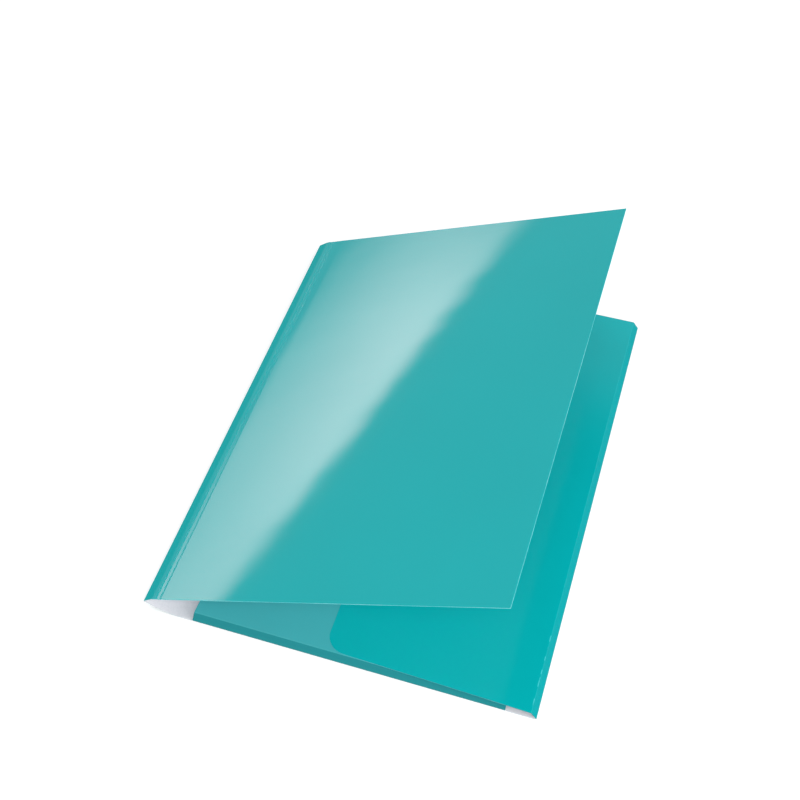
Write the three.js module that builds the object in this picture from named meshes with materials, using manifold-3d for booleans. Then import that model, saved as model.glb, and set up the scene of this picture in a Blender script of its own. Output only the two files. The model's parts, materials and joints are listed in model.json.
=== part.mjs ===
// Three-flap document folder in A4 format, made of one creased blank of glossy laminated board.
// The blank is modelled panel by panel: each panel turns on the crease that joins it to the last.
// Millimetres and degrees. X runs from the spine to the side fold, Y from the foot of the
// folder to its head, Z up. The back panel lies on z = 0 and the front cover stands half open.
import * as THREE from 'three';
import { mergeVertices } from 'three/addons/utils/BufferGeometryUtils.js';
import Module from 'manifold-3d';

const wasm = await Module();
wasm.setup();

// Driving dimensions: the board
const boardThickness = 0.5;
const folderHeight = 320;
const backFlatWidth = 215.6;

// Driving dimensions: the scored spine
const spineLipRadius = 36;
const spineLipAngle = 25;
const spineStripWidth = 7;
const spineFoldBend = 115;
const coverCreaseBend = 15.6;
const coverSetback = 3.2;
const scoreSpacing = 3;
const scoreCount = 2;
const scoreRadius = 0.3;
const scoreDepth = 0.12;

// Driving dimensions: the flaps
const endGussetWidth = 4.6;
const endGussetLean = 47;
const endFlapReach = 80;
const endFlapTaper = 2;
const endFlapSpineMargin = 8.2;
const endFlapSideMargin = 17.7;
const sideGussetLean = 52;
const sideFlapReach = 123.8;
const sideFlapTaper = 1.8;
const flapCornerRadius = 12;

// Clearances
const creaseClearance = 0.15;
const creaseEndRelief = 0.4;
const sideFlapEndMargin = 0.3;
const flapStackGap = 0.47;

// Facets of the round forms
const beadSides = 32;
const scoreSides = 12;
const cornerSteps = 12;
const overcut = 1;

const straightAngle = 180;
const radians = THREE.MathUtils.degToRad;
const sinDeg = (angle) => Math.sin(radians(angle));
const cosDeg = (angle) => Math.cos(radians(angle));
const tanDeg = (angle) => Math.tan(radians(angle));

// Places on the blank that several panels share
const lipRun = spineLipRadius * sinDeg(spineLipAngle);
const lipStartX = spineStripWidth * cosDeg(spineLipAngle) + lipRun;
const lipEndX = lipStartX - lipRun;
const lipEndZ = boardThickness + spineLipRadius * (1 - cosDeg(spineLipAngle));
const sideFoldX = lipStartX + backFlatWidth;
const footY = -folderHeight / 2;
const headY = folderHeight / 2;

const coverWidth = sideFoldX - spineStripWidth - coverSetback;
const endFlapLength = backFlatWidth - endFlapSpineMargin - endFlapSideMargin;
const endFlapCentreX = lipStartX + endFlapSpineMargin + endFlapLength / 2;
const endGussetRise = endGussetWidth * sinDeg(endGussetLean);
const sideGussetRise = endGussetRise + boardThickness + flapStackGap;
const sideGussetWidth = sideGussetRise / sinDeg(sideGussetLean);
const sideFlapSpan = folderHeight - 2 * sideFlapEndMargin;

// The laminate's outside colour, with its gloss, as each panel shows it
const laminateTeal = 0x30afb0;
const flapTeal = 0x1eaab0;
const shadedTeal = 0x3ba0a8;
const laminateRoughness = 0.2;

function laminate(color) {
  return new THREE.MeshStandardMaterial({
    color,
    roughness: laminateRoughness,
    metalness: 0,
    side: THREE.FrontSide,
    flatShading: true,
  });
}

// A closed three.js geometry becomes a solid that can be joined and cut
function toSolid(geometry) {
  const bare = geometry.clone();
  bare.deleteAttribute('normal');
  bare.deleteAttribute('uv');
  const merged = mergeVertices(bare, 1e-5);
  return new wasm.Manifold(
    new wasm.Mesh({
      numProp: 3,
      vertProperties: new Float32Array(merged.attributes.position.array),
      triVerts: new Uint32Array(merged.index.array),
    }),
  );
}

function toMesh(solid, name, color) {
  const { vertProperties, triVerts } = solid.getMesh();
  const geometry = new THREE.BufferGeometry();
  geometry.setAttribute('position', new THREE.BufferAttribute(vertProperties, 3));
  geometry.setIndex(new THREE.BufferAttribute(triVerts, 1));
  geometry.computeVertexNormals();
  const mesh = new THREE.Mesh(geometry, laminate(color));
  mesh.name = name;
  return mesh;
}

// A section drawn in X and Z, drawn out evenly along Y
function profileSolid(shape, span) {
  const geometry = new THREE.ExtrudeGeometry(shape, {
    depth: span,
    bevelEnabled: false,
    curveSegments: cornerSteps,
  });
  geometry.rotateX(Math.PI / 2);
  geometry.translate(0, span / 2, 0);
  return toSolid(geometry);
}

// A panel's outline drawn in X and Y, one board thick, with its inner face on z = 0
function panelSolid(outline) {
  const geometry = new THREE.ExtrudeGeometry(outline, {
    depth: boardThickness,
    bevelEnabled: false,
    curveSegments: cornerSteps,
  });
  geometry.translate(0, 0, -boardThickness);
  return toSolid(geometry);
}

function rodAlongY(radius, length, sides, x, z) {
  const geometry = new THREE.CylinderGeometry(radius, radius, length, sides);
  geometry.translate(x, 0, z);
  return toSolid(geometry);
}

function rectangle(lowX, lowY, highX, highY) {
  const shape = new THREE.Shape();
  shape.moveTo(lowX, lowY);
  shape.lineTo(highX, lowY);
  shape.lineTo(highX, highY);
  shape.lineTo(lowX, highY);
  shape.closePath();
  return shape;
}

// A crease is a round bead as thick as the board, centred on the board's inner face. The outer
// face runs on round the bead at every angle, so the fold stays smooth from flat to shut.
function withBead(solid, x, z, span) {
  return solid.add(rodAlongY(boardThickness, span, beadSides, x, z));
}

// The next panel starts in a hollow round the bead, so that it can roll about it
function withHollow(solid, span) {
  const radius = boardThickness + creaseClearance;
  return solid.subtract(rodAlongY(radius, span + 2 * overcut, beadSides, 0, 0));
}

// Score lines run beside a crease: a groove outside and the ridge that it pushes up inside.
// pointAt gives the inner face's place and normal at a distance along the board.
function withScoreLines(solid, pointAt, span) {
  let scored = solid;
  for (let line = 1; line <= scoreCount; line += 1) {
    const { x, z, normalX, normalZ } = pointAt(line * scoreSpacing);
    const ridgeDepth = scoreRadius - scoreDepth;
    const grooveDepth = boardThickness + scoreRadius - scoreDepth;
    const ridge = rodAlongY(
      scoreRadius,
      span,
      scoreSides,
      x - normalX * ridgeDepth,
      z - normalZ * ridgeDepth,
    );
    const groove = rodAlongY(
      scoreRadius,
      span + 2 * overcut,
      scoreSides,
      x - normalX * grooveDepth,
      z - normalZ * grooveDepth,
    );
    scored = scored.add(ridge).subtract(groove);
  }
  return scored;
}

// A flap narrows towards its free edge, where both corners are rounded
function flapOutline(reach, span, taper, cornerRadius) {
  const halfSpan = span / 2;
  const cornerX = reach - cornerRadius;
  const edgeAtCorner = halfSpan - cornerX * tanDeg(taper);
  const cornerY = edgeAtCorner - cornerRadius / cosDeg(taper);
  const sideNormal = Math.PI / 2 - radians(taper);
  const shape = new THREE.Shape();
  shape.moveTo(0, halfSpan);
  shape.lineTo(0, -halfSpan);
  shape.absarc(cornerX, -cornerY, cornerRadius, -sideNormal, 0, false);
  shape.absarc(cornerX, cornerY, cornerRadius, 0, sideNormal, false);
  shape.closePath();
  return shape;
}

// The back panel's section: flat from the side fold to the spine, where it lifts in an arc
function backSection() {
  const arcCentreZ = boardThickness + spineLipRadius;
  const down = -Math.PI / 2;
  const lipEnd = down - radians(spineLipAngle);
  const shape = new THREE.Shape();
  shape.moveTo(sideFoldX, boardThickness);
  shape.lineTo(lipStartX, boardThickness);
  shape.absarc(lipStartX, arcCentreZ, spineLipRadius, down, lipEnd, true);
  shape.absarc(lipStartX, arcCentreZ, spineLipRadius + boardThickness, lipEnd, down, false);
  shape.lineTo(sideFoldX, 0);
  shape.closePath();
  return shape;
}

// The lip's inner face at a distance back from the crease at its end
function lipPointAt(distance) {
  const turned = spineLipAngle - THREE.MathUtils.radToDeg(distance / spineLipRadius);
  return {
    x: lipStartX - spineLipRadius * sinDeg(turned),
    z: boardThickness + spineLipRadius * (1 - cosDeg(turned)),
    normalX: sinDeg(turned),
    normalZ: cosDeg(turned),
  };
}

// At the foot and the head the blank is cut back to the crease along the end flap's length
function withEndCrease(solid, edgeY) {
  const inward = -Math.sign(edgeY);
  const axisY = edgeY + inward * boardThickness;
  const halfNotch = endFlapLength / 2 + creaseEndRelief;
  const notchShape = rectangle(
    endFlapCentreX - halfNotch,
    Math.min(axisY, edgeY - inward * overcut),
    endFlapCentreX + halfNotch,
    Math.max(axisY, edgeY - inward * overcut),
  );
  const notchGeometry = new THREE.ExtrudeGeometry(notchShape, {
    depth: boardThickness + 2 * overcut,
    bevelEnabled: false,
  });
  notchGeometry.translate(0, 0, -overcut);
  const beadGeometry = new THREE.CylinderGeometry(
    boardThickness,
    boardThickness,
    endFlapLength,
    beadSides,
  );
  beadGeometry.rotateZ(Math.PI / 2);
  beadGeometry.translate(endFlapCentreX, axisY, boardThickness);
  return solid.subtract(toSolid(notchGeometry)).add(toSolid(beadGeometry));
}

function makeBackPanel() {
  let solid = profileSolid(backSection(), folderHeight);
  solid = withBead(solid, sideFoldX, boardThickness, folderHeight);
  solid = withBead(solid, lipEndX, lipEndZ, folderHeight);
  solid = withScoreLines(solid, lipPointAt, folderHeight);
  solid = withEndCrease(solid, footY);
  solid = withEndCrease(solid, headY);
  return toMesh(solid, 'back_panel', laminateTeal);
}

// A strip between two creases: a hollow at its near side and a bead at its far side
function makeCreasedStrip(name, width, span, color) {
  const section = rectangle(0, -boardThickness, width, 0);
  let solid = profileSolid(section, span);
  solid = withBead(solid, width, 0, span);
  solid = withHollow(solid, span);
  return toMesh(solid, name, color);
}

function makeFrontCover() {
  const section = rectangle(0, -boardThickness, coverWidth, 0);
  const pointAt = (distance) => ({ x: distance, z: 0, normalX: 0, normalZ: 1 });
  let solid = profileSolid(section, folderHeight);
  solid = withScoreLines(solid, pointAt, folderHeight);
  solid = withHollow(solid, folderHeight);
  return toMesh(solid, 'front_cover', laminateTeal);
}

function makeFlap(name, reach, span, taper, color) {
  const outline = flapOutline(reach, span, taper, flapCornerRadius);
  const solid = withHollow(panelSolid(outline), span);
  return toMesh(solid, name, color);
}

// A frame on the blank's edge, its X pointing away from the middle of the blank
function edgeFrame(parent, x, y, z, heading) {
  const frame = new THREE.Group();
  frame.position.set(x, y, z);
  frame.rotation.z = radians(heading);
  parent.add(frame);
  return frame;
}

// A frame across a crease: the panel in it is folded inwards by the bend
function foldFrame(parent, distance, bend) {
  const frame = new THREE.Group();
  frame.position.x = distance;
  frame.rotation.y = -radians(bend);
  parent.add(frame);
  return frame;
}

// The spine: two strips with the sharp fold between them, then the cover on its own crease
function addSpineAndCover(blank) {
  const edge = edgeFrame(blank, lipEndX, 0, lipEndZ, straightAngle);
  const backStrip = foldFrame(edge, 0, spineLipAngle);
  const frontStrip = foldFrame(backStrip, spineStripWidth, spineFoldBend);
  const cover = foldFrame(frontStrip, spineStripWidth, coverCreaseBend);
  backStrip.add(
    makeCreasedStrip('spine_back_strip', spineStripWidth, folderHeight, laminateTeal),
  );
  frontStrip.add(
    makeCreasedStrip('spine_front_strip', spineStripWidth, folderHeight, laminateTeal),
  );
  cover.add(makeFrontCover());
}

// The side flap stands on its gusset at the side fold and lies over both end flaps
function addSideFlap(blank) {
  const edge = edgeFrame(blank, sideFoldX, 0, boardThickness, 0);
  const gusset = foldFrame(edge, 0, straightAngle - sideGussetLean);
  const flap = foldFrame(gusset, sideGussetWidth, sideGussetLean);
  gusset.add(makeCreasedStrip('side_gusset', sideGussetWidth, sideFlapSpan, flapTeal));
  flap.add(makeFlap('side_flap', sideFlapReach, sideFlapSpan, sideFlapTaper, flapTeal));
}

// The end flaps at the foot and the head are alike, each on a gusset of its own
function addEndFlap(blank, edgeName, edgeY) {
  const inward = -Math.sign(edgeY);
  const axisY = edgeY + inward * boardThickness;
  const edge = edgeFrame(blank, endFlapCentreX, axisY, boardThickness, -90 * inward);
  const gusset = foldFrame(edge, 0, straightAngle - endGussetLean);
  const flap = foldFrame(gusset, endGussetWidth, endGussetLean);
  gusset.add(
    makeCreasedStrip(`${edgeName}_gusset`, endGussetWidth, endFlapLength, shadedTeal),
  );
  flap.add(
    makeFlap(`${edgeName}_flap`, endFlapReach, endFlapLength, endFlapTaper, shadedTeal),
  );
}

const folder = new THREE.Group();
folder.position.x = -sideFoldX / 2;
folder.add(makeBackPanel());
addSpineAndCover(folder);
addSideFlap(folder);
addEndFlap(folder, 'bottom', footY);
addEndFlap(folder, 'top', headY);

export default folder;
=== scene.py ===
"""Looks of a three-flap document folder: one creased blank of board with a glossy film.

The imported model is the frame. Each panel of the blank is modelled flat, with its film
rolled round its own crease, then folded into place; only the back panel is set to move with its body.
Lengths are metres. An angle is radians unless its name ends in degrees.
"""
import json
import logging
import math
from abc import ABC, abstractmethod
from dataclasses import dataclass, field
from enum import Enum
from typing import Callable, Sequence

import bmesh
import bpy
from mathutils import Matrix, Vector


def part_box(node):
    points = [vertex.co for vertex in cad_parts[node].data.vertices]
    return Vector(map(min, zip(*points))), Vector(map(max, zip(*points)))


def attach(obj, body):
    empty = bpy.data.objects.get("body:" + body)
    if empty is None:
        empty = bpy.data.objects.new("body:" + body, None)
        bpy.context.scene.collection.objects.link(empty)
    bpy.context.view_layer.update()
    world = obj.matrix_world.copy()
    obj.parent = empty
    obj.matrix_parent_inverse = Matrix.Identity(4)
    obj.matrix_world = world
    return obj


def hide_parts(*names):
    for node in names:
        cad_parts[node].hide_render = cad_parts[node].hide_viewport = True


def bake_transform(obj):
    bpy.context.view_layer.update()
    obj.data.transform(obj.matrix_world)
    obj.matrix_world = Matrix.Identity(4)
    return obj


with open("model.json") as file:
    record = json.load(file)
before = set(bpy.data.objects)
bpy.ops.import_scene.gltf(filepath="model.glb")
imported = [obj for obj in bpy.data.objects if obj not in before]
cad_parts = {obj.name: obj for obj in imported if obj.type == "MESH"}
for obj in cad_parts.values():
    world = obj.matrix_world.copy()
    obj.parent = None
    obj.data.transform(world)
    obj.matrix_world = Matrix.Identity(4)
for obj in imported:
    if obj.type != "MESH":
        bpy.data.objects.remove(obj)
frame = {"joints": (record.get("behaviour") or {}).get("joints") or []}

Point = tuple[float, float, float]
Span = tuple[float, float]
Colour = tuple[float, float, float, float]
Socket = bpy.types.NodeSocket
Inputs = dict[str | int, object]

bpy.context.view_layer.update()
MILLIMETRE = 0.001
UP = Vector((0.0, 0.0, 1.0))
ALONG_X = (1.0, 0.0, 0.0)
ALONG_Y = (0.0, 1.0, 0.0)
WHITE: Colour = (1.0, 1.0, 1.0, 1.0)
BLACK: Colour = (0.0, 0.0, 0.0, 1.0)

# Places closer than the first are one, and an edge nearer than the second lies along a line.
# A cut that passes a vertex by less than the third goes through it, and no edge is shorter.
SAME_PLACE = 0.001 * MILLIMETRE
NEAR_LINE = 0.01 * MILLIMETRE
SLIVER = 0.0001 * MILLIMETRE

# The curve of screens is straight up to its start, and a power from there on.
CURVE_START = 0.04045
CURVE_SLOPE = 12.92
CURVE_OFFSET = 0.055
CURVE_POWER = 2.4

log = logging.getLogger("folder")


class Face(Enum):
    """Which surface of the board a face belongs to, as its material slot's number."""

    OUTSIDE = 0
    INSIDE = 1
    CUT = 2


class Slot(Enum):
    """The record's material slots; each panel holds one, but its finish comes from its BoardFinish."""

    COVER = "cover_board"
    FLAP = "flap_board"


class Edge(Enum):
    """The back panel's edges, each with the way out of the folder over it."""

    SPINE = (-1.0, 0.0, 0.0)
    SIDE = (1.0, 0.0, 0.0)
    BOTTOM = (0.0, -1.0, 0.0)
    TOP = (0.0, 1.0, 0.0)


def joint_facts(name: str) -> dict:
    """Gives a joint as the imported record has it."""
    return next(item for item in frame["joints"] if item["name"] == name)


def joint_place(name: str) -> Vector:
    """Gives a point of a joint's axis, which lies on the board's inner face."""
    return Vector(joint_facts(name)["pos_m"])


def linear(*parts: int) -> Colour:
    """Turns a screen colour into a linear one.

    Args:
        parts: The red, green and blue, from 0 to 255.

    Returns:
        The linear colour, opaque.
    """
    light = []
    for part in parts:
        share = part / 255
        bright = ((share + CURVE_OFFSET) / (1 + CURVE_OFFSET)) ** CURVE_POWER
        light.append(bright if share > CURVE_START else share / CURVE_SLOPE)
    return (*light, 1.0)


@dataclass(frozen=True)
class ScoreLines:
    """Shallow grooves beside the spine: spare folds for a thicker filling."""

    places: tuple[float, ...] = (3.0 * MILLIMETRE, 6.0 * MILLIMETRE)
    half_width: float = 0.4 * MILLIMETRE
    depth: float = 0.12 * MILLIMETRE
    steps: int = 8
    margin: float = 0.6 * MILLIMETRE

    def rows(self) -> list[tuple[float, float]]:
        """Lists the rows of the grooves.

        Returns:
            Pairs of distance from the crease and depth.
        """
        rows = []
        for centre in self.places:
            for step in range(self.steps + 1):
                share = 2 * step / self.steps - 1
                depth = self.depth * (1 + math.cos(math.pi * share)) / 2
                rows.append((centre + share * self.half_width, depth))
        return rows

    def beside(self) -> list[float]:
        """Lists a plain row on each side of every groove, which keeps the flats flat."""
        return [centre + way * self.margin for centre in self.places for way in (-1, 1)]

    def clears(self, place: float, spare: float) -> bool:
        """Says whether a distance from the crease lies outside the rows beside the grooves."""
        return all(abs(place - centre) >= self.margin + spare for centre in self.places)


@dataclass(frozen=True)
class Ribs:
    """Flat ribs that stand up between the crease and the score lines, more at the head.

    Beyond the last score line the board curls up to its plane, at the head alone.
    """

    tilts_at_foot: tuple[float, ...] = (math.radians(2.6), 0.0)
    tilts_at_head: tuple[float, ...] = (math.radians(6.0), math.radians(4.0))
    curl_at_head: float = math.radians(3.0)
    curl_reach: float = 7.0 * MILLIMETRE
    curl_bias: int = 3
    curl_steps: int = 5

    def rows(self, scores: ScoreLines) -> list[float]:
        """Lists the rows that the curl beyond the last score line needs, if there is one."""
        steps = [self.curl_reach * step / self.curl_steps for step in range(1, self.curl_steps + 1)]
        return [start + step for start in scores.beside()[-1:] for step in steps]

    def bulge(self, x: float, share: float, scores: ScoreLines) -> float:
        """Gives how far a rib or the curl stands out of the panel.

        Args:
            x: The distance from the crease.
            share: The place between the foot, 0, and the head, 1.
            scores: The score lines that the ribs end at.

        Returns:
            The bulge towards the outer face.
        """
        if not scores.places:
            return 0.0
        start = 0.0
        for centre, at_foot, at_head in zip(scores.places, self.tilts_at_foot, self.tilts_at_head):
            top = centre - scores.half_width
            foot = centre + scores.half_width
            if x <= foot:
                tilt = at_foot + (at_head - at_foot) * share
                slope_up = (x - start) / (top - start)
                slope_down = (foot - x) / (foot - top)
                return tilt * (top - start) * min(slope_up, slope_down)
            start = foot
        beyond = min(x - start, self.curl_reach)
        curl = self.curl_at_head * share ** self.curl_bias
        return curl * beyond * (1 - beyond / (2 * self.curl_reach))


@dataclass(frozen=True)
class Blank:
    """Sizes of the creased blank that several of its panels share."""

    thickness: float = 0.5 * MILLIMETRE
    height: float = 320.0 * MILLIMETRE
    strip_width: float = 7.0 * MILLIMETRE
    lip_radius: float = 36.0 * MILLIMETRE
    lip_angle: float = math.radians(25.0)
    spine_fold_bend: float = math.radians(115.0)
    cover_crease_bend: float = math.radians(15.6)
    cover_setback: float = 3.2 * MILLIMETRE
    scores: ScoreLines = ScoreLines()


@dataclass(frozen=True)
class FlapSizes:
    """A flap's sizes: its gusset's lean, its reach, how it narrows and how far its edge lifts."""

    lean: float
    reach: float
    taper: float
    lift: float
    corner_radius: float = 12.0 * MILLIMETRE


SIDE_FLAP = FlapSizes(
    lean=math.radians(52.0),
    reach=123.8 * MILLIMETRE,
    taper=math.radians(1.8),
    lift=0.9 * MILLIMETRE,
)
END_FLAP = FlapSizes(
    lean=math.radians(47.0),
    reach=80.0 * MILLIMETRE,
    taper=math.radians(2.0),
    lift=0.2 * MILLIMETRE,
)


@dataclass(frozen=True)
class Crease:
    """A crease at rest: its joint, the way its panel lies and how far it is folded."""

    joint: str
    edge: Edge
    slope: float
    bend: float

    @property
    def placement(self) -> Matrix:
        """Where the panel's own frame lies in the row frame.

        Returns:
            The frame: crease along Y, panel along X, inner face on z = 0.
        """
        outward = Vector(self.edge.value)
        along = outward * math.cos(self.slope) + UP * math.sin(self.slope)
        inner = UP * math.cos(self.slope) - outward * math.sin(self.slope)
        turn = Matrix((along, UP.cross(outward), inner)).transposed().to_4x4()
        return Matrix.Translation(joint_place(self.joint)) @ turn


def add_plane(name: str, low: Span, high: Span, z: float) -> bpy.types.Object:
    """Adds a level plane, with its place and size in its mesh.

    Args:
        name: The plane's name.
        low: Its lowest X and Y.
        high: Its highest X and Y.
        z: Its height.

    Returns:
        The plane, selected and active.
    """
    bpy.ops.object.select_all(action="DESELECT")
    middle = ((low[0] + high[0]) / 2, (low[1] + high[1]) / 2, z)
    bpy.ops.mesh.primitive_plane_add(size=1.0, location=middle)
    plane = bpy.context.object
    plane.name = name
    plane.data.name = name
    plane.scale = (high[0] - low[0], high[1] - low[1], 1.0)
    bpy.ops.object.transform_apply(location=True, rotation=True, scale=True)
    return plane


class Nodes:
    """Builds one node tree, placing its nodes from left to right."""

    column_width = 180.0
    row_height = 40.0
    rows = 5
    # The colour mix has several sockets of the same names, so its own go by their places.
    mix_first = 6
    mix_second = 7
    mix_result = 2
    range_inputs = ("Value", "From Min", "From Max", "To Min", "To Max")

    def __init__(self, tree: bpy.types.NodeTree):
        """Starts on a tree with nothing in it yet."""
        self.tree = tree
        self.count = 0

    @classmethod
    def of(cls, owner: bpy.types.Material | bpy.types.World) -> "Nodes":
        """Starts on the emptied node tree of a material or a world.

        Args:
            owner: What the tree belongs to.

        Returns:
            The builder.
        """
        owner.use_nodes = True
        owner.node_tree.nodes.clear()
        return cls(owner.node_tree)

    def add(self, kind: str, inputs: Inputs | None = None, **settings: object) -> bpy.types.Node:
        """Adds a node.

        Args:
            kind: The node's type name.
            inputs: Sockets, numbers or colours for its inputs, by their names or places.
            settings: Values for its properties.

        Returns:
            The node.
        """
        node = self.tree.nodes.new(kind)
        node.location = (self.column_width * self.count, -self.row_height * (self.count % self.rows))
        self.count += 1
        for name, value in settings.items():
            setattr(node, name, value)
        for key, value in (inputs or {}).items():
            if isinstance(value, Socket):
                self.tree.links.new(value, node.inputs[key])
            else:
                node.inputs[key].default_value = value
        return node

    def math(self, operation: str, *values: object) -> Socket:
        """Adds a math node for one or two sockets or numbers and gives its result."""
        return self.add("ShaderNodeMath", dict(enumerate(values)), operation=operation).outputs[0]

    def noise(self, vector: Socket, scale: float, detail: float = 2.0) -> Socket:
        """Adds a noise with so many features in a metre and gives its value, around a half."""
        inputs = {"Vector": vector, "Scale": scale, "Detail": detail}
        return self.add("ShaderNodeTexNoise", inputs, noise_dimensions="3D").outputs["Fac"]

    def spread(self, value: Socket, span: Span, low: float = 0.0, high: float = 1.0) -> Socket:
        """Adds a soft step from the low result to the high one as the value crosses the span."""
        inputs = dict(zip(self.range_inputs, (value, *span, low, high)))
        return self.add("ShaderNodeMapRange", inputs, interpolation_type="SMOOTHSTEP").outputs["Result"]

    def blend(self, factor: Socket, first: Socket | Colour, second: Socket | Colour) -> Socket:
        """Adds a mix from the first colour, where the factor is 0, to the second, where it is 1."""
        inputs = {"Factor": factor, self.mix_first: first, self.mix_second: second}
        return self.add("ShaderNodeMix", inputs, data_type="RGBA").outputs[self.mix_result]

    def bump(self, height: Socket, strength: float, distance: float) -> Socket:
        """Adds a bump, where a height of 1 is the distance, and gives its normal."""
        inputs = {"Height": height, "Strength": strength, "Distance": distance}
        return self.add("ShaderNodeBump", inputs).outputs["Normal"]

    def place(self) -> Socket:
        """Gives the place on the object, in metres."""
        return self.add("ShaderNodeTexCoord").outputs["Object"]

    def split(self, vector: Socket) -> tuple[Socket, Socket]:
        """Gives the X and the Y of a vector."""
        outputs = self.add("ShaderNodeSeparateXYZ", {"Vector": vector}).outputs
        return outputs["X"], outputs["Y"]

    def to_background(self) -> Socket:
        """Marks the rays that see the white background, straight, mirrored or let through.

        Returns:
            1 for these rays and 0 for all others.
        """
        path = self.add("ShaderNodeLightPath")
        seen = self.math("MAXIMUM", path.outputs["Is Camera Ray"], path.outputs["Is Glossy Ray"])
        return self.math("MAXIMUM", seen, path.outputs["Is Transmission Ray"])


def new_material(name: str, surface: Callable[[Nodes], Socket]) -> bpy.types.Material:
    """Makes a material.

    Args:
        name: The material's name.
        surface: Adds the shader and gives its socket.

    Returns:
        The material.
    """
    material = bpy.data.materials.new(name)
    nodes = Nodes.of(material)
    nodes.add("ShaderNodeOutputMaterial", {"Surface": surface(nodes)})
    return material


@dataclass(frozen=True)
class Mottle:
    """Cloudy tint and fine grain, as a node group that more than one finish uses."""

    cloud: float
    grain: float
    name: str = "board_mottle"
    cloud_scale: float = 9.0
    grain_scale: float = 900.0
    detail: float = 3.0

    def tree(self) -> bpy.types.NodeTree:
        """Gives the group's tree.

        Returns:
            The tree, made the first time.
        """
        known = bpy.data.node_groups.get(self.name)
        if known:
            return known
        tree = bpy.data.node_groups.new(self.name, "ShaderNodeTree")
        for title in ("Vector", "Cloud", "Grain", "Shade", "Height"):
            kind = "NodeSocketVector" if title == "Vector" else "NodeSocketFloat"
            way = "OUTPUT" if title in ("Shade", "Height") else "INPUT"
            tree.interface.new_socket(title, in_out=way, socket_type=kind)
        nodes = Nodes(tree)
        entry = nodes.add("NodeGroupInput").outputs
        cloud = nodes.noise(entry["Vector"], self.cloud_scale, self.detail)
        grain = nodes.noise(entry["Vector"], self.grain_scale, self.detail)
        cloud_part = nodes.math("MULTIPLY", nodes.math("SUBTRACT", cloud, 0.5), entry["Cloud"])
        grain_part = nodes.math("MULTIPLY", nodes.math("SUBTRACT", grain, 0.5), entry["Grain"])
        shade = nodes.math("ADD", nodes.math("ADD", cloud_part, grain_part), 1.0)
        nodes.add("NodeGroupOutput", {"Shade": shade, "Height": grain})
        return tree

    def placed(self, nodes: Nodes, place: Socket) -> bpy.types.Node:
        """Adds the group to a material, read at a place on the object."""
        inputs = {"Vector": place, "Cloud": self.cloud, "Grain": self.grain}
        return nodes.add("ShaderNodeGroup", inputs, node_tree=self.tree())


@dataclass(frozen=True)
class Finish(ABC):
    """A surface of the board. Its material is made once, under its own name."""

    name: str

    @abstractmethod
    def look(self, nodes: Nodes) -> Inputs:
        """Gives the sockets and values for the shader's inputs."""

    def shader(self, nodes: Nodes) -> Socket:
        """Adds the shader and gives its socket."""
        return nodes.add("ShaderNodeBsdfPrincipled", self.look(nodes)).outputs["BSDF"]

    def material(self) -> bpy.types.Material:
        """Gives the finish as a material, made the first time."""
        return bpy.data.materials.get(self.name) or new_material(self.name, self.shader)


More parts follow.
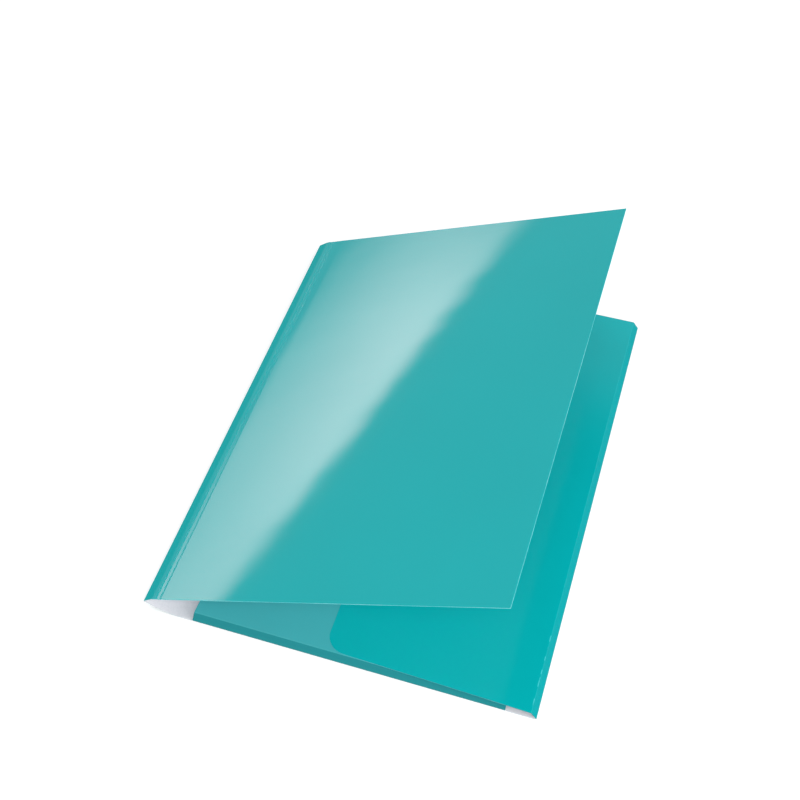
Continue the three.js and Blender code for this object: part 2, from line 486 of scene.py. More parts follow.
@dataclass(frozen=True)
class LaminateFilm(Finish):
    """The glossy coloured film outside: clear coat, faint waves, and pale dashes painted along a fold
    as a highlight.
    """

    colour: Colour
    # Pale colour of the dashes: a painted highlight that stands for the glint on the fold's score line.
    painted_glint: Colour = linear(76, 212, 216)
    mottle: Mottle = Mottle(cloud=0.10, grain=0.03)
    roughness: float = 0.38
    roughness_swing: float = 0.04
    haze_scale: float = 25.0
    haze_detail: float = 3.0
    haze_span: Span = (0.3, 0.7)
    coat_weight: float = 1.0
    coat_roughness: float = 0.05
    coat_ior: float = 1.33
    wave_scale: float = 30.0
    wave_detail: float = 1.0
    peel_scale: float = 420.0
    peel_share: float = 0.035
    bump_height: float = 0.06 * MILLIMETRE
    # How wide the painted highlight dashes are and where along the fold they lie.
    glint_width: float = 0.4 * MILLIMETRE
    glint_from: float = 0.0
    glint_to: float = 0.0
    glint_fade: float = 4.0 * MILLIMETRE
    dash_scale: float = 140.0
    dash_detail: float = 1.0
    dash_span: Span = (0.5, 0.55)

    def look(self, nodes: Nodes) -> Inputs:
        """Gives the shader its tint, haze, bump and clear coat.

        Args:
            nodes: The material's builder.

        Returns:
            Sockets and values by the names of the shader's inputs.
        """
        place = nodes.place()
        shade = self.mottle.placed(nodes, place).outputs["Shade"]
        tinted = nodes.add("ShaderNodeHueSaturation", {"Color": self.colour, "Value": shade})
        haze = nodes.noise(place, self.haze_scale, self.haze_detail)
        smoothest = self.roughness - self.roughness_swing
        roughest = self.roughness + self.roughness_swing
        waves = nodes.noise(place, self.wave_scale, self.wave_detail)
        peel = nodes.math("MULTIPLY", nodes.noise(place, self.peel_scale), self.peel_share)
        bumped = nodes.bump(nodes.math("ADD", waves, peel), 1.0, self.bump_height)
        return {
            # The base colour carries the painted highlight dashes along the fold.
            "Base Color": nodes.blend(self.glint_mask(nodes), tinted.outputs["Color"], self.painted_glint),
            "Roughness": nodes.spread(haze, self.haze_span, smoothest, roughest),
            "Normal": bumped,
            "Coat Normal": bumped,
            "Specular IOR Level": 0.0,
            "Coat Weight": self.coat_weight,
            "Coat Roughness": self.coat_roughness,
            "Coat IOR": self.coat_ior,
        }

    def glint_mask(self, nodes: Nodes) -> Socket:
        """Marks broken pale dashes along a stretch of the panel's own fold: a painted highlight.

        Args:
            nodes: The material's builder.

        Returns:
            The mask, from 0 to 1.
        """
        across, along = nodes.split(nodes.add("ShaderNodeUVMap", uv_map="board").outputs["UV"])
        near = nodes.spread(nodes.math("ABSOLUTE", across), (0.0, self.glint_width), 1.0, 0.0)
        line = nodes.add("ShaderNodeCombineXYZ", {"Y": along}).outputs["Vector"]
        dashes = nodes.spread(nodes.noise(line, self.dash_scale, self.dash_detail), self.dash_span)
        begun = nodes.spread(along, (self.glint_from, self.glint_from + self.glint_fade))
        ended = nodes.spread(along, (self.glint_to - self.glint_fade, self.glint_to), 1.0, 0.0)
        stretch = nodes.math("MULTIPLY", begun, ended)
        return nodes.math("MULTIPLY", nodes.math("MULTIPLY", near, dashes), stretch)


@dataclass(frozen=True)
class BarePaper(Finish):
    """The board's uncoated inside: white, matt, with a fine fibre."""

    name: str = "bare_inside"
    colour: Colour = linear(226, 227, 232)
    shade: Colour = linear(216, 218, 224)
    mottle: Mottle = Mottle(cloud=0.5, grain=0.7)
    mottle_span: Span = (0.75, 1.2)
    roughness: float = 0.82
    specular: float = 0.3
    fibre_strength: float = 0.4
    fibre_height: float = 0.03 * MILLIMETRE

    def look(self, nodes: Nodes) -> Inputs:
        """Gives the shader its clouded white and its fibre.

        Args:
            nodes: The material's builder.

        Returns:
            Sockets and values by the names of the shader's inputs.
        """
        mottle = self.mottle.placed(nodes, nodes.place()).outputs
        pale = nodes.spread(mottle["Shade"], self.mottle_span)
        return {
            "Base Color": nodes.blend(pale, self.shade, self.colour),
            "Normal": nodes.bump(mottle["Height"], self.fibre_strength, self.fibre_height),
            "Roughness": self.roughness,
            "Specular IOR Level": self.specular,
        }


@dataclass(frozen=True)
class CutEdge(Finish):
    """The board's cut edge: pressed fibre in layers, tinged by the film's rim."""

    name: str = "cover_cut_edge"
    # The default shades are the cover's: its cyan edge tint, made brighter as a painted highlight along
    # its cut edges.
    core: Colour = linear(144, 242, 246)
    tinge: Colour = linear(72, 218, 222)
    layer_scale: float = 2600.0
    run_scale: float = 60.0
    core_span: Span = (0.8, 1.2)
    roughness: float = 0.6
    layer_strength: float = 0.5
    layer_height: float = 0.03 * MILLIMETRE

    def look(self, nodes: Nodes) -> Inputs:
        """Gives the shader its layers, which come and go along the edge.

        Args:
            nodes: The material's builder.

        Returns:
            Sockets and values by the names of the shader's inputs.
        """
        place = nodes.place()
        layers = nodes.noise(place, self.layer_scale)
        runs = nodes.noise(place, self.run_scale)
        pale = nodes.spread(nodes.math("ADD", layers, runs), self.core_span)
        return {
            "Base Color": nodes.blend(pale, self.tinge, self.core),
            "Normal": nodes.bump(layers, self.layer_strength, self.layer_height),
            "Roughness": self.roughness,
        }


@dataclass(frozen=True)
class BoardFinish:
    """The three surfaces of one panel of laminated board."""

    film: LaminateFilm
    edge: CutEdge
    paper: BarePaper = BarePaper()

    def by_face(self) -> tuple[Finish, ...]:
        """Lists the surfaces in the order of Face."""
        return self.film, self.paper, self.edge


@dataclass(frozen=True)
class Waves:
    """The slight unevenness that makes a flat board's reflections live."""

    height: float = 0.05 * MILLIMETRE
    length_x: float = 150.0 * MILLIMETRE
    length_y: float = 210.0 * MILLIMETRE
    share_x: float = 0.6
    phase: float = 0.7
    settle: float = 20.0 * MILLIMETRE

    def at(self, x: float, y: float) -> float:
        """Gives the rise at a place on the flat panel.

        Args:
            x: The distance from the crease, where the waves die down.
            y: The place along the crease.

        Returns:
            The rise, to either side of nothing.
        """
        first = math.sin(math.tau * x / self.length_x + self.phase)
        second = math.sin(math.tau * y / self.length_y + 2 * self.phase)
        mixed = self.share_x * first + (1 - self.share_x) * second
        return self.height * min(1.0, x / self.settle) ** 2 * mixed


@dataclass(kw_only=True)
class BoardPiece(ABC):
    """A piece of board, shaped from a flat sheet with the hand tools of edit mode."""

    name: str
    blank: Blank
    finish: BoardFinish
    row_spacing: float = 9.0 * MILLIMETRE
    cut_radius: float = 0.06 * MILLIMETRE
    smooth_degrees: float = 30.0
    piece: bpy.types.Object = field(init=False)

    @abstractmethod
    def meets_another(self, place: Vector) -> bool:
        """Says whether an edge at this place runs along a crease."""

    def lay_sheet(self, low: Span, high: Span, z: float) -> None:
        """Lays down the sheet between two corners and opens it in edit mode."""
        self.piece = add_plane(f"{self.name}_board", low, high, z)
        bpy.ops.object.mode_set(mode="EDIT")

    def pick(self, test: Callable[[Vector], bool]) -> None:
        """Selects the vertices whose place passes the test, and nothing else.

        Args:
            test: Says whether a vertex at this place is wanted.
        """
        bpy.ops.mesh.select_mode(type="VERT")
        bpy.ops.mesh.select_all(action="DESELECT")
        mesh = bmesh.from_edit_mesh(self.piece.data)
        for vertex in mesh.verts:
            vertex.select = test(vertex.co)
        mesh.select_flush(True)
        bmesh.update_edit_mesh(self.piece.data)

    def rule(self, places: Sequence[float], along_x: bool) -> None:
        """Cuts lines straight across the sheet.

        Args:
            places: Where the lines cross the X or the Y axis.
            along_x: True where the places are on the X axis.
        """
        normal = ALONG_X if along_x else ALONG_Y
        for place in places:
            point = tuple(place * step for step in normal)
            bpy.ops.mesh.select_all(action="SELECT")
            bpy.ops.mesh.bisect(plane_co=point, plane_no=normal, threshold=SLIVER)

    def divide(self, low: float, high: float, along_x: bool) -> None:
        """Cuts even spaces between two places on the X or the Y axis."""
        count = max(2, round((high - low) / self.row_spacing))
        self.rule([low + (high - low) * step / count for step in range(1, count)], along_x)

    def press(self, test: Callable[[Vector], bool], offset: Point) -> None:
        """Moves the vertices whose place passes the test by an offset."""
        self.pick(test)
        bpy.ops.transform.translate(value=offset)

    def face_outside(self) -> None:
        """Turns every face of the open sheet the way that the film looks, down."""
        bpy.ops.mesh.select_all(action="SELECT")
        bpy.ops.mesh.remove_doubles(threshold=SAME_PLACE)
        bpy.ops.mesh.normals_make_consistent(inside=False)
        mesh = bmesh.from_edit_mesh(self.piece.data)
        largest = max(mesh.faces, key=lambda face: face.calc_area())
        if largest.normal.z > 0:
            bpy.ops.mesh.flip_normals()

    def thicken(self) -> None:
        """Dresses the sheet and gives it the board's thickness, towards its inner face."""
        self.face_outside()
        bpy.ops.object.mode_set(mode="OBJECT")
        for finish in self.finish.by_face():
            self.piece.data.materials.append(finish.material())
        bpy.ops.object.modifier_add(type="SOLIDIFY")
        wall = self.piece.modifiers[-1]
        wall.thickness = self.blank.thickness
        wall.offset = -1.0
        wall.use_even_offset = True
        wall.use_quality_normals = True
        wall.material_offset = Face.INSIDE.value
        wall.material_offset_rim = Face.CUT.value
        bpy.ops.object.modifier_apply(modifier=wall.name)
        bpy.ops.object.mode_set(mode="EDIT")
        bpy.ops.mesh.select_all(action="SELECT")

    def soften_cuts(self) -> None:
        """Rounds the cut edges of the board, but not where another panel goes on."""
        bpy.ops.mesh.select_mode(type="EDGE")
        bpy.ops.mesh.select_all(action="DESELECT")
        mesh = bmesh.from_edit_mesh(self.piece.data)
        for edge in mesh.edges:
            kinds = {face.material_index == Face.CUT.value for face in edge.link_faces}
            middle = (edge.verts[0].co + edge.verts[1].co) / 2
            edge.select_set(len(kinds) == 2 and not self.meets_another(middle))
        bmesh.update_edit_mesh(self.piece.data)
        bpy.ops.mesh.bevel(offset=self.cut_radius, segments=1, affect="EDGES", clamp_overlap=True)

    def put_in_place(self, placement: Matrix) -> None:
        """Maps and shades the piece and puts its place into its mesh.

        The map named board holds each point's place on the flat panel, in metres.

        Args:
            placement: Where the panel's own frame lies in the row frame.
        """
        bpy.ops.object.mode_set(mode="OBJECT")
        mesh = self.piece.data
        flat = mesh.uv_layers.new(name="board")
        for loop in mesh.loops:
            flat.data[loop.index].uv = mesh.vertices[loop.vertex_index].co.xy
        self.piece.matrix_world = placement
        bpy.ops.object.transform_apply(location=True, rotation=True, scale=True)
        bpy.ops.object.shade_smooth_by_angle(angle=math.radians(self.smooth_degrees))
        log.info("%s: %d faces", self.piece.name, len(mesh.polygons))


@dataclass(kw_only=True)
class Panel(BoardPiece):
    """A panel beyond its crease, with the film rolled round the fold before it."""

    slot: Slot
    crease: Crease
    reach: float
    span: float
    taper: float = 0.0
    corner_radius: float = 0.0
    corner_segments: int = 12
    scores: ScoreLines = ScoreLines(places=())
    ribs: Ribs = Ribs()
    goes_on: bool = False
    lift: float = 0.0
    waves: Waves = Waves()
    first_row: float = 1.6 * MILLIMETRE
    rolled_shares: tuple[float, ...] = (0.25, 1.0)
    flat_shares: tuple[float, ...] = (0.25, 0.5, 0.75, 1.0)
    degrees_per_roll_step: float = 7.0
    seam_reach: float = 0.1 * MILLIMETRE
    seam_gap: float = 0.03 * MILLIMETRE

    def plain_rows(self) -> list[float]:
        """Lists the rows between the crease and the far edge, clear of the score lines.

        Returns:
            The distances from the crease.
        """
        beside = self.scores.beside() + self.ribs.rows(self.scores)
        start = max([self.first_row, *beside])
        count = max(1, round((self.reach - start) / self.row_spacing))
        rows = [start + (self.reach - start) * step / count for step in range(count)]
        shares = self.rolled_shares if self.crease.bend else self.flat_shares
        return sorted({*(self.first_row * share for share in shares), *beside, *rows})

    def lay_out(self) -> None:
        """Draws the flat outer face with its rows and columns."""
        half = self.span / 2
        self.lay_sheet((0.0, -half), (self.reach, half), -self.blank.thickness)
        self.pick(lambda place: place.x > self.reach / 2)
        if self.taper:
            narrowed = 1 - self.reach * math.tan(self.taper) / half
            bpy.ops.transform.resize(value=(1.0, narrowed, 1.0), center_override=(self.reach, 0.0, 0.0))
        if self.corner_radius:
            corner = {"offset": self.corner_radius, "segments": self.corner_segments}
            bpy.ops.mesh.bevel(affect="VERTICES", **corner)
        self.rule(self.plain_rows() + [place for place, _ in self.scores.rows()], True)
        self.divide(-half, half, False)

    def roll_film(self) -> None:
        """Rolls the film round the crease, back to the panel before it."""
        self.pick(lambda place: abs(place.x) < SAME_PLACE)
        steps = max(2, round(math.degrees(self.crease.bend) / self.degrees_per_roll_step))
        bpy.ops.mesh.spin(steps=steps, angle=-self.crease.bend, center=(0.0, 0.0, 0.0), axis=ALONG_Y)

    def seat_on_axis(self) -> None:
        """Draws the inner ends of the rolled film together on the crease's axis."""
        self.pick(lambda place: math.hypot(place.x, place.z) < self.seam_reach)
        bpy.ops.mesh.remove_doubles(threshold=self.seam_gap)
        bpy.ops.transform.resize(value=(0.0, 1.0, 0.0), center_override=(0.0, 0.0, 0.0))
        bpy.ops.mesh.select_all(action="SELECT")
        bpy.ops.mesh.dissolve_degenerate(threshold=SLIVER)

    def meets_another(self, place: Vector) -> bool:
        """Says whether an edge at this place runs along a crease."""
        rolled = place.x < self.first_row / 2 and abs(place.y) < self.span / 2 - self.cut_radius
        return rolled or (self.goes_on and place.x > self.reach - NEAR_LINE)

    def press_scores(self) -> None:
        """Presses the score lines into the outer face. The inner one stays flat."""
        middle = -self.blank.thickness / 2
        for row, depth in self.scores.rows():
            offset = (0.0, 0.0, depth)
            self.press(lambda place: abs(place.x - row) < SAME_PLACE and place.z < middle, offset)

    def rise(self, x: float, y: float) -> float:
        """Gives how far the board leaves its plane, towards its inner face.

        Args:
            x: The distance from the crease.
            y: The place along the crease, which runs to the foot on the spine side.

        Returns:
            The rise, none at the crease itself.
        """
        if x <= 0:
            return 0.0
        bulge = self.ribs.bulge(x, 0.5 - y / self.span, self.scores)
        if x <= self.first_row:
            return -bulge
        return self.waves.at(x, y) + self.lift * (x / self.reach) ** 2 - bulge

    def sway(self) -> None:
        """Lets the board leave its plane a little, as card does."""
        mesh = bmesh.from_edit_mesh(self.piece.data)
        for vertex in mesh.verts:
            vertex.co.z += self.rise(vertex.co.x, vertex.co.y)
        bmesh.update_edit_mesh(self.piece.data)

    def build(self) -> None:
        """Models the panel, folds it into place and hides the model's part that it stands for."""
        self.lay_out()
        if self.crease.bend:
            self.roll_film()
        self.thicken()
        self.seat_on_axis()
        self.soften_cuts()
        self.press_scores()
        self.sway()
        self.put_in_place(self.crease.placement)
        facts = joint_facts(self.crease.joint)
        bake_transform(self.piece)
        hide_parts(facts["child"])


@dataclass(kw_only=True)
class BackPanel(BoardPiece):
    """The panel that the folder lies on, with its lip rising to the spine."""

    name: str = "back_panel"
    lip_steps: int = 10
    lip_end: float = 0.3 * MILLIMETRE
    end_relief: float = 0.4 * MILLIMETRE
    same_turn: float = 0.0001

    def __post_init__(self) -> None:
        """Finds where the panel's creases are and where its lip starts."""
        blank = self.blank
        self.side_x = joint_place("side_fold").x
        self.lip_x = joint_place("spine_back_crease").x
        self.lip_start = self.lip_x + blank.lip_radius * math.sin(blank.lip_angle)
        self.lip_centre = Vector((self.lip_start, 0.0, blank.lip_radius + blank.thickness))
        self.half = blank.height / 2 - blank.thickness
        low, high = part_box("bottom_gusset")
        self.notch = (low.x - self.end_relief, high.x + self.end_relief)

    def lay_out(self) -> None:
        """Draws the flat outer face up to the lip and between the end flaps' creases."""
        self.lay_sheet((self.lip_start, -self.half), (self.side_x, self.half), 0.0)
        self.divide(self.lip_start, self.side_x, True)
        self.rule(self.notch, True)
        self.divide(-self.half, self.half, False)

    def lip_turn(self, place: float) -> float:
        """Gives the lip's angle at a distance from its crease."""
        return self.blank.lip_angle - place / self.blank.lip_radius

    def lift_lip(self) -> None:
        """Rolls the spine edge up in an arc, with rows for its score lines."""
        scores = self.blank.scores
        arc = self.blank.lip_radius * self.blank.lip_angle
        plain = [arc * step / self.lip_steps for step in range(self.lip_steps)]
        clear = [place for place in plain if scores.clears(place, self.cut_radius)]
        places = [*clear, *scores.beside(), *(place for place, _ in scores.rows())]
        self.pick(lambda place: abs(place.x - self.lip_start) < SAME_PLACE)
        turned = 0.0
        for turn in sorted(map(self.lip_turn, places)):
            bpy.ops.mesh.spin(steps=1, angle=turned - turn, center=self.lip_centre, axis=ALONG_Y)
            turned = turn

    def widen_ends(self) -> None:
        """Runs the panel out to the blank's ends on both sides of the end flaps."""
        for way in (-1.0, 1.0):
            for low, high in ((-math.inf, self.notch[0]), (self.notch[1], math.inf)):
                self.pick(
                    lambda place: abs(place.y - way * self.half) < SAME_PLACE
                    and low - SAME_PLACE < place.x < high + SAME_PLACE
                )
                offset = (0.0, way * self.blank.thickness, 0.0)
                bpy.ops.mesh.extrude_region_move(TRANSFORM_OT_translate={"value": offset})

    def meets_another(self, place: Vector) -> bool:
        """Says whether an edge at this place runs along a crease."""
        at_flap = abs(abs(place.y) - self.half) < NEAR_LINE and self.notch[0] < place.x < self.notch[1]
        return at_flap or not self.lip_x + self.lip_end <= place.x <= self.side_x - NEAR_LINE

    def is_on_row(self, arm: Vector, turn: float) -> bool:
        """Says whether an arm from the lip's centre ends on its outer face, at this angle."""
        outer = math.hypot(arm.x, arm.z) > self.blank.lip_radius + self.blank.thickness / 2
        return outer and abs(math.atan2(-arm.x, -arm.z) - turn) < self.same_turn

    def press_lip(self) -> None:
        """Presses the lip's score lines into its outer face. The inner one stays smooth."""
        for place, depth in self.blank.scores.rows():
            turn = self.lip_turn(place)
            offset = (math.sin(turn) * depth, 0.0, math.cos(turn) * depth)
            self.press(lambda point: self.is_on_row(point - self.lip_centre, turn), offset)

    def build(self) -> None:
        """Models the panel in place."""
        self.lay_out()
        self.lift_lip()
        self.widen_ends()
        self.thicken()
        bpy.ops.mesh.remove_doubles(threshold=SAME_PLACE)
        self.soften_cuts()
        self.press_lip()
        self.put_in_place(Matrix.Identity(4))
        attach(self.piece, self.name)
        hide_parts(self.name)


@dataclass
class SpineAndCover:
    """The two spine strips and the front cover, each on its own crease."""

    blank: Blank
    finish: BoardFinish
    strip_finish: BoardFinish

    def panels(self) -> list[Panel]:
        """Lists the panels.

        Returns:
            The strips and the cover, from the back panel's lip onwards.
        """
        blank = self.blank
        front_slope = blank.lip_angle + blank.spine_fold_bend
        cover_slope = front_slope + blank.cover_crease_bend
        back_crease = Crease("spine_back_crease", Edge.SPINE, blank.lip_angle, 0.0)
        fold = Crease("spine_fold", Edge.SPINE, front_slope, blank.spine_fold_bend)
        cover_crease = Crease("cover_crease", Edge.SPINE, cover_slope, blank.cover_crease_bend)
        inner_width = joint_place("side_fold").x - joint_place("spine_fold").x
        cover_width = inner_width - blank.strip_width - blank.cover_setback
        common = {"slot": Slot.COVER, "blank": blank, "span": blank.height}
        strip = {"reach": blank.strip_width, "finish": self.strip_finish, "goes_on": True, **common}
        cover = {"reach": cover_width, "finish": self.finish, "scores": blank.scores, **common}
        return [
            Panel(name="spine_back_strip", crease=back_crease, **strip),
            Panel(name="spine_front_strip", crease=fold, **strip),
            Panel(name="front_cover", crease=cover_crease, **cover),
        ]


@dataclass
class GussetedFlap:
    """A flap that lies over the back panel, on a gusset as high as the filling."""

    blank: Blank
    finish: BoardFinish
    gusset_finish: BoardFinish
    edge: Edge
    sizes: FlapSizes

    def panels(self) -> list[Panel]:
        """Lists the gusset and the flap.

        Returns:
            Both, from the back panel onwards.
        """
        sizes = self.sizes
        side = self.edge.name.lower()
        steep = math.pi - sizes.lean
        fold = Crease(f"{side}_fold", self.edge, steep, steep)
        crease = Crease(f"{side}_flap_crease", self.edge, math.pi, sizes.lean)
        width = (joint_place(crease.joint) - joint_place(fold.joint)).length
        low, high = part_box(f"{side}_gusset")
        span = abs((high - low).dot(UP.cross(Vector(self.edge.value))))
        common = {"slot": Slot.FLAP, "blank": self.blank, "span": span}
        gusset = {"reach": width, "finish": self.gusset_finish, "goes_on": True, **common}
        flap = {"reach": sizes.reach, "finish": self.finish, "taper": sizes.taper, **common}
        ends = {"corner_radius": sizes.corner_radius, "lift": sizes.lift}
        return [
            Panel(name=f"{side}_gusset", crease=fold, **gusset),
            Panel(name=f"{side}_flap", crease=crease, **ends, **flap),
        ]


@dataclass(kw_only=True)
class MirroredCard(ABC):
    """A card out of the camera's sight that only the glossy film mirrors."""

    name: str
    middle: Point
    along: Point
    length: float
    above: float
    below: float
    tint: Colour = WHITE

    @abstractmethod
    def axes(self) -> tuple[Vector, Vector]:
        """Gives the directions along and down the card."""

    @abstractmethod
    def strength(self, nodes: Nodes, along: Socket, down: Socket) -> Socket:
        """Gives the card's light at a place on it, where 1 is the background's white."""

    def shader(self, nodes: Nodes) -> Socket:
        """Adds the card's light and gives its socket."""
        strength = self.strength(nodes, *nodes.split(nodes.place()))
        return nodes.add("ShaderNodeEmission", {"Color": self.tint, "Strength": strength}).outputs[0]

    def hang(self) -> None:
        """Hangs the card, seen by the film alone."""
        card = add_plane(self.name, (-self.length / 2, -self.above), (self.length / 2, self.below), 0.0)
        along, down = self.axes()
        turn = Matrix((along, down, along.cross(down))).transposed().to_4x4()
        card.matrix_world = Matrix.Translation(self.middle) @ turn
        card.data.materials.append(new_material(self.name, self.shader))
        card.visible_camera = False
        card.visible_diffuse = False
        card.visible_shadow = False


@dataclass(kw_only=True)
class Softbox(MirroredCard):
    """The softbox whose straight edge the cover mirrors, fading away below it."""

    name: str = "softbox_face"
    middle: Point = (-0.9272, 0.8122, 0.5398)
    along: Point = (-0.6556, -0.7535, 0.0494)
    mirror_eye: Point = (0.5662, -0.5407, -0.2670)
    length: float = 2.4
    above: float = 0.03
    below: float = 0.23
    tint: Colour = (1.0, 0.8, 0.78, 1.0)
    glow: float = 9.3
    lean: float = 0.02
    edge_span: Span = (-0.018, 0.011)
    fall_start: float = 0.02
    fall_length: float = 0.178
    fall_power: float = 1.15
    near_span: Span = (0.08, 0.38)
    near_level: float = 0.84
    far_span: Span = (-0.5, -0.06)
    far_level: float = 0.15

    def axes(self) -> tuple[Vector, Vector]:
        """Turns the card square to the rays that the cover mirrors.

        Returns:
            The directions along and down the card.
        """
        sight = (Vector(self.mirror_eye) - Vector(self.middle)).normalized()
        along = Vector(self.along)
        along = (along - sight * along.dot(sight)).normalized()
        down = along.cross(sight)
        if down.z > 0:
            down.negate()
        return (along + down * self.lean).normalized(), (down - along * self.lean).normalized()

    def strength(self, nodes: Nodes, along: Socket, down: Socket) -> Socket:
        """Makes the card brightest along its upper edge, fading down and to both ends.

        Args:
            nodes: The material's builder.
            along: The place along the card in metres.
            down: The place down the card in metres.

        Returns:
            The strength of its glow.
        """
        edge = nodes.spread(down, self.edge_span)
        share = nodes.math("DIVIDE", nodes.math("SUBTRACT", down, self.fall_start), self.fall_length)
        held = nodes.math("MINIMUM", nodes.math("MAXIMUM", share, 0.0), 1.0)
        fall = nodes.math("SUBTRACT", 1.0, nodes.math("POWER", held, self.fall_power))
        near_end = nodes.spread(along, self.near_span, 1.0, self.near_level)
        far_end = nodes.spread(along, self.far_span, self.far_level, 1.0)
        shape = nodes.math("MULTIPLY", edge, fall)
        for end in (near_end, far_end):
            shape = nodes.math("MULTIPLY", shape, end)
        return nodes.math("ADD", nodes.math("MULTIPLY", shape, self.glow), 1.0)


@dataclass(kw_only=True)
class DarkFlag(MirroredCard):
    """A dark flag high behind the folder, which deepens the side flap's colour."""

    name: str = "dark_flag"
    middle: Point = (0.1, 0.95, 0.93)
    along: Point = (-1.0, 0.0, 0.0)
    down: Point = (0.0, 0.74, -0.672)
    length: float = 1.0
    above: float = 1.3
    below: float = 0.12
    edge_span: Span = (-0.085, 0.035)

    def axes(self) -> tuple[Vector, Vector]:
        """Gives the directions along and down the card."""
        return Vector(self.along), Vector(self.down).normalized()

    def strength(self, nodes: Nodes, along: Socket, down: Socket) -> Socket:
        """Leaves the flag black above and as light as the background at its lower edge."""
        return nodes.spread(down, self.edge_span)


@dataclass(frozen=True)
class Lamp:
    """A square area lamp that looks at the folder and isn't mirrored by it."""

    name: str
    place: Point
    size: float
    watts: float

    def hang(self) -> None:
        """Hangs the lamp."""
        bpy.ops.object.light_add(type="AREA", location=self.place)
        lamp = bpy.context.object
        lamp.name = self.name
        lamp.data.size = self.size
        lamp.data.energy = self.watts
        lamp.visible_glossy = False
        lamp.rotation_euler = (-Vector(self.place)).to_track_quat("-Z", "Y").to_euler()


@dataclass
class Studio:
    """A pale floor, plain soft light and the camera at the photograph's angle."""

    floor_half: float = 6.0
    floor_gap: float = 0.15 * MILLIMETRE
    floor_colour: Colour = linear(203, 203, 203)
    floor_glow: float = 0.5
    floor_span: Span = (0.35, 1.6)
    world_light: float = 0.425
    lamps: tuple[Lamp, ...] = (
        Lamp("left_lamp", place=(-1.1, 0.2, 1.7), size=1.2, watts=10.6),
        Lamp("front_lamp", place=(0.35, -1.3, 1.45), size=1.0, watts=17.5),
        Lamp("right_lamp", place=(1.6, -0.35, 0.85), size=0.8, watts=16.6),
    )
    lens_mm: float = 62.06
    sensor_mm: float = 36.0
    nearest: float = 0.01
    camera_place: Point = (0.124501, -0.540734, 0.70673)
    azimuth_degrees: float = 14.107
    elevation_degrees: float = 49.619
    roll_degrees: float = 3.418

    def build(self) -> None:
        """Sets up the floor, the light and the camera."""
        bpy.context.scene.view_settings.view_transform = "Standard"
        self.light_world()
        self.lay_floor()
        for light in (Softbox(), DarkFlag(), *self.lamps):
            light.hang()
        self.set_camera()
        log.info("studio: floor, world, cards, lamps and camera")

    def light_world(self) -> None:
        """Gives the world even light, and white where it is seen."""
        world = bpy.data.worlds.new("studio_world")
        bpy.context.scene.world = world
        nodes = Nodes.of(world)
        lit = nodes.add("ShaderNodeBackground", {"Color": WHITE, "Strength": self.world_light})
        seen = nodes.add("ShaderNodeBackground", {"Color": WHITE, "Strength": 1.0})
        inputs = {"Fac": nodes.to_background(), 1: lit.outputs[0], 2: seen.outputs[0]}
        either = nodes.add("ShaderNodeMixShader", inputs)
        nodes.add("ShaderNodeOutputWorld", {"Surface": either.outputs[0]})

    def lay_floor(self) -> None:
        """Lays the pale floor, which keeps the folder's soft shadow."""
        half = self.floor_half
        floor = add_plane("pale_floor", (-half, -half), (half, half), -self.floor_gap)
        floor.data.materials.append(new_material(floor.name, self.floor_shader))

    def floor_shader(self, nodes: Nodes) -> Socket:
        """Makes the floor matt near the folder and the white of the background far away.

        Args:
            nodes: The material's builder.

        Returns:
            The shader's socket.
        """
        away = nodes.add("ShaderNodeVectorMath", {0: nodes.place()}, operation="LENGTH")
        distance = away.outputs["Value"]
        colour = nodes.blend(nodes.spread(distance, self.floor_span), self.floor_colour, BLACK)
        level = nodes.spread(distance, self.floor_span, self.floor_glow, 1.0)
        strength = nodes.math("MULTIPLY", nodes.to_background(), level)
        matt = nodes.add("ShaderNodeBsdfDiffuse", {"Color": colour}).outputs[0]
        glow = nodes.add("ShaderNodeEmission", {"Strength": strength}).outputs[0]
        return nodes.add("ShaderNodeAddShader", {0: matt, 1: glow}).outputs[0]

    def set_camera(self) -> None:
        """Sets the camera where the photograph was taken from."""
        bpy.ops.object.camera_add(location=self.camera_place)
        camera = bpy.context.object
        camera.name = "photo_camera"
        camera.data.lens = self.lens_mm
        camera.data.sensor_width = self.sensor_mm
        camera.data.clip_start = self.nearest
        azimuth = math.radians(self.azimuth_degrees)
        elevation = math.radians(self.elevation_degrees)
        level = Vector((-math.sin(azimuth), math.cos(azimuth), 0.0))
        ahead = level * math.cos(elevation) - UP * math.sin(elevation)
        roll = Matrix.Rotation(math.radians(self.roll_degrees), 3, "Z")
        camera.rotation_euler = (ahead.to_track_quat("-Z", "Y").to_matrix() @ roll).to_euler()
        bpy.context.scene.camera = camera


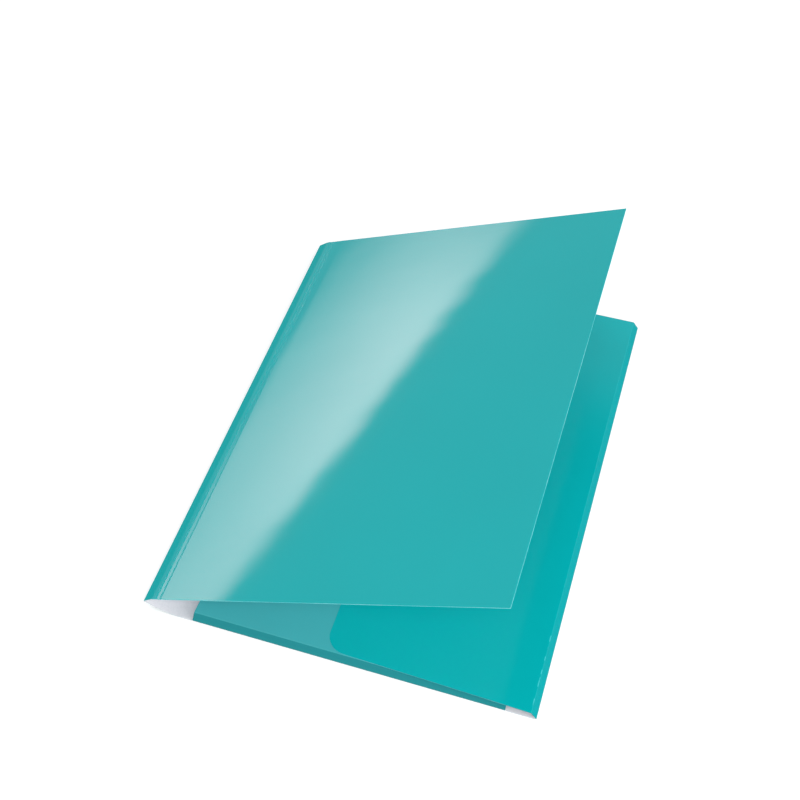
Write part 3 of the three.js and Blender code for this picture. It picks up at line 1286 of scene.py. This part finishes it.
def main() -> None:
    """Builds the folder panel by panel, then the studio round it."""
    blank = Blank()
    # The cover's cut edge: its own cyan tint, brightened by a painted highlight.
    cover_edge_and_glint = CutEdge()
    pale_edge = CutEdge("back_cut_edge", core=linear(236, 238, 242), tinge=linear(212, 223, 229))
    # A darker copy of the cut edge: painted shade on the edges of the flaps and gussets.
    flap_edge_painted_shade = CutEdge("flap_cut_edge", core=linear(116, 202, 204), tinge=linear(54, 165, 169))
    cover_film = LaminateFilm("cover_film", linear(0, 172, 176))
    spine_film = LaminateFilm("spine_film", linear(0, 173, 176), coat_weight=0.2)
    # The side flap's film has painted highlight dashes along this stretch of its fold.
    painted_glint_stretch = {"glint_from": -156.0 * MILLIMETRE, "glint_to": -104.0 * MILLIMETRE}
    side_film = LaminateFilm("side_film", linear(0, 174, 178), coat_roughness=0.13, **painted_glint_stretch)
    # A darker copy of the side film: painted shade on the side gusset.
    side_gusset_film = LaminateFilm("side_gusset_film", linear(0, 161, 166), coat_weight=0.2)
    # The end flaps' film is greyed: a painted reflection of the cover's white inside, which the flaps
    # lie under.
    end_film = LaminateFilm("end_film", linear(68, 173, 179))
    # A darker copy of the end film: painted shade on the bottom and top gussets.
    end_gusset_film = LaminateFilm("end_gusset_film", linear(34, 138, 144), coat_weight=0.4)
    cover_finishes = (BoardFinish(cover_film, cover_edge_and_glint), BoardFinish(spine_film, pale_edge))
    side_finishes = (BoardFinish(side_film, flap_edge_painted_shade), BoardFinish(side_gusset_film, flap_edge_painted_shade))
    end_finishes = (BoardFinish(end_film, flap_edge_painted_shade), BoardFinish(end_gusset_film, flap_edge_painted_shade))
    BackPanel(blank=blank, finish=BoardFinish(cover_film, pale_edge)).build()
    for assembly in (
        SpineAndCover(blank, *cover_finishes),
        GussetedFlap(blank, *side_finishes, Edge.SIDE, SIDE_FLAP),
        GussetedFlap(blank, *end_finishes, Edge.BOTTOM, END_FLAP),
        GussetedFlap(blank, *end_finishes, Edge.TOP, END_FLAP),
    ):
        for panel in assembly.panels():
            panel.build()
    Studio().build()


if __name__ == "__main__":
    logging.basicConfig(level=logging.INFO, format="%(message)s")
    main()
